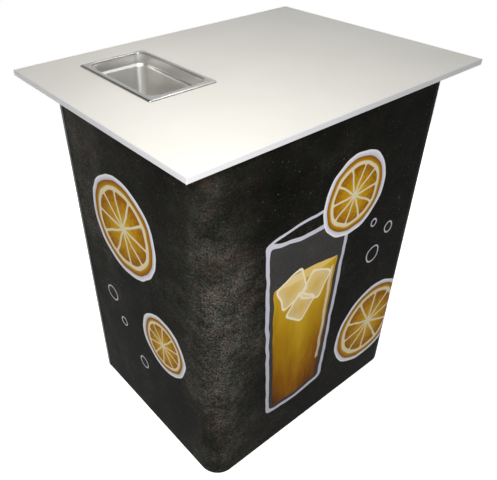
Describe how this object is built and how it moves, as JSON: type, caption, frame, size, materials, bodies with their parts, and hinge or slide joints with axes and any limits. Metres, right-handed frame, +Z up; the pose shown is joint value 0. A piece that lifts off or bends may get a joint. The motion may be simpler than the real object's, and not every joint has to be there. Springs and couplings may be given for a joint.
{
  "type": "promotional bar counter",
  "caption": "Free-standing bar counter: white worktop with a drop-in steel ice pan, on a body wrapped in dark printed sheet with round front corners, open with a shelf at the back.",
  "frame": {"origin": "on the floor, under the middle of the worktop", "axes": "+Z up, +Y towards the open staff side at the back, X along the front"},
  "size_m": [0.8, 0.6, 0.9035],
  "materials": {
    "white_laminate": "white melamine on chipboard, satin",
    "white_edging": "white ABS edging, satin",
    "stainless_steel": "pressed stainless steel, satin",
    "white_sheet": "white rigid PVC sheet, matt",
    "printed_film": "printed film with a satin laminate",
    "foam_tape": "double-sided foam tape",
    "beech": "turned beech",
    "zinc_steel": "zinc-plated steel",
    "glide_plastic": "moulded plastic",
    "pine": "planed pine",
    "black_trim": "extruded plastic, satin"
  },
  "bodies": {
    "counter_body": {"base_board": "white_laminate", "front_top_rail": "white_laminate", "left_top_rail": "white_laminate", "right_top_rail": "white_laminate", "base_edge_band": "white_edging", "wrap_sheet": "white_sheet", "wrap_print": "printed_film", "mounting_tape": "foam_tape", "locating_dowels": "beech", "rail_brackets": "zinc_steel", "bracket_screws": "zinc_steel", "base_screws": "zinc_steel", "batten_screws": "zinc_steel", "glide_nails": "zinc_steel", "floor_glides": "glide_plastic", "front_left_post": "pine", "front_right_post": "pine", "back_left_post": "pine", "back_right_post": "pine", "left_shelf_batten": "pine", "right_shelf_batten": "pine", "left_edge_trim": "black_trim", "right_edge_trim": "black_trim"},
    "tabletop": {"tabletop_board": "white_laminate", "front_edge_band": "white_edging", "back_edge_band": "white_edging", "left_edge_band": "white_edging", "right_edge_band": "white_edging"},
    "ice_pan": {"ice_pan": "stainless_steel"},
    "shelf": {"shelf_board": "white_laminate", "shelf_edge_band": "white_edging"}
  },
  "joints": [
    {"name": "tabletop_lift", "type": "slide", "parent": "counter_body", "child": "tabletop", "axis": [0, 0, 1], "range_m": [0, 0.15]},
    {"name": "ice_pan_lift", "type": "slide", "parent": "tabletop", "child": "ice_pan", "axis": [0, 0, 1], "range_m": [0, 0.12]},
    {"name": "shelf_slide", "type": "slide", "parent": "counter_body", "child": "shelf", "axis": [0, 1, 0], "range_m": [0, 0.5]}
  ]
}
